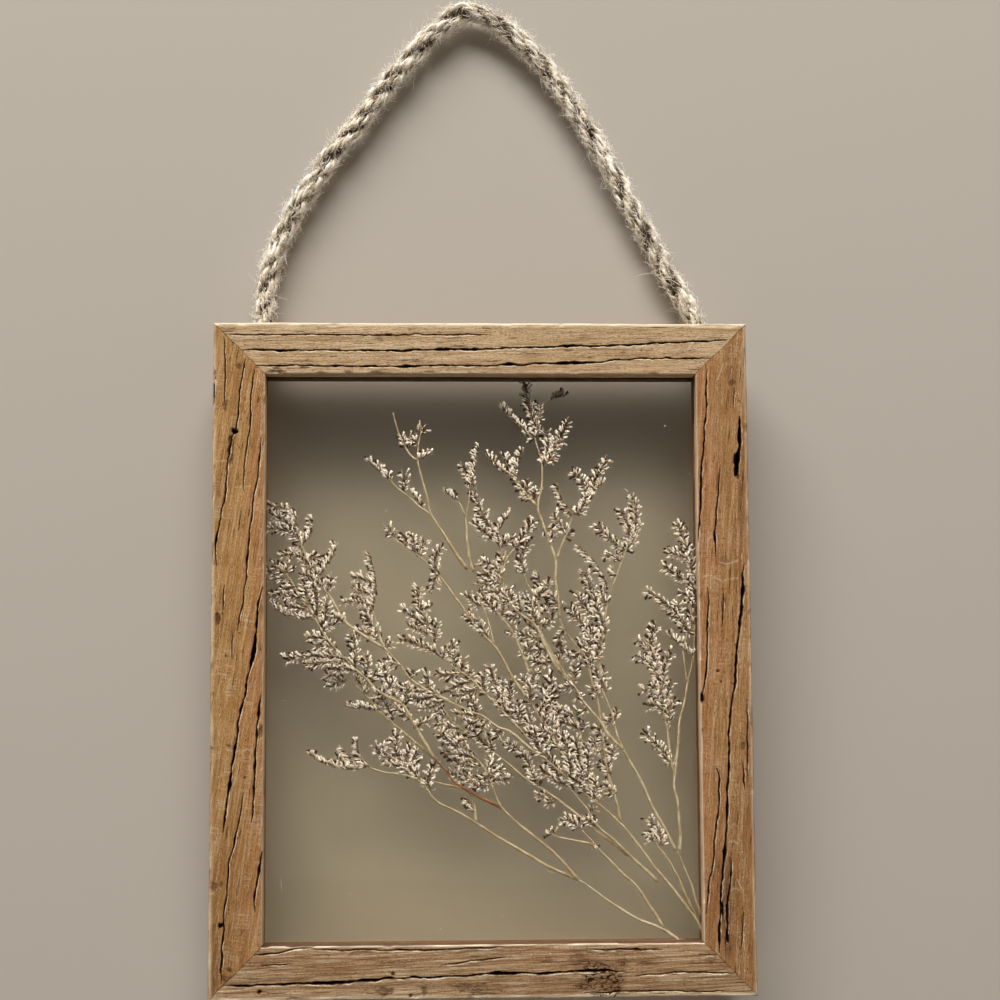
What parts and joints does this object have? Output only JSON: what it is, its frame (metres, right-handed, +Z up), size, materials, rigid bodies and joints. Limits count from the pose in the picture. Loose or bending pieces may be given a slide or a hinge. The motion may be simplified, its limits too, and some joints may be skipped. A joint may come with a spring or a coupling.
{
  "type": "pressed flower frame",
  "caption": "Rope-hung old wooden frame holding pressed sprays of dried sea lavender between two panes of glass.",
  "frame": {"origin": "the point under the top of the rope where a nail in the wall bears; the frame hangs below it", "axes": "+X to the viewer's right along the rails, +Y from the viewer towards the wall, +Z up along the stiles"},
  "size_m": [0.2, 0.0318, 0.3898],
  "materials": {
    "rail_wood": "matte",
    "stile_wood": "matte",
    "bead_wood": "matte",
    "window_glass": "gloss",
    "dried_flower": "matte",
    "jute": "matte",
    "staple_steel": "satin"
  },
  "bodies": {
    "root": {"top_rail": "rail_wood", "bottom_rail": "rail_wood", "left_stile": "stile_wood", "right_stile": "stile_wood", "front_pane": "window_glass", "back_pane": "window_glass", "top_bead": "bead_wood", "bottom_bead": "bead_wood", "left_bead": "bead_wood", "right_bead": "bead_wood", "left_staple": "staple_steel", "right_staple": "staple_steel", "hanging_rope": "jute", "low_stem": "dried_flower", "low_left_branch": "dried_flower", "low_upshoot": "dried_flower", "low_right_branch": "dried_flower", "red_twig": "dried_flower", "left_low_spray": "dried_flower", "left_mid_spray": "dried_flower", "left_up_stem": "dried_flower", "left_up_column": "dried_flower", "far_left_branch": "dried_flower", "top_left_sprig": "dried_flower", "left_long_sprig": "dried_flower", "centre_bent_twig": "dried_flower", "thin_top_twig": "dried_flower", "centre_top_spray": "dried_flower", "centre_column_spray": "dried_flower", "tall_stem": "dried_flower", "tall_top": "dried_flower", "tall_left_branch": "dried_flower", "tall_right_branch": "dried_flower", "right_stem": "dried_flower", "right_tall_branch": "dried_flower", "right_side_twig": "dried_flower", "right_sprig": "dried_flower", "right_inner_sprig": "dried_flower", "small_sprig": "dried_flower", "main_stem": "dried_flower", "main_top_branch": "dried_flower", "upper_fan": "dried_flower", "behind_fan": "dried_flower", "inner_stem": "dried_flower", "side_stem": "dried_flower", "side_long_branch": "dried_flower", "low_twig_sprig": "dried_flower"}
  },
  "joints": []
}
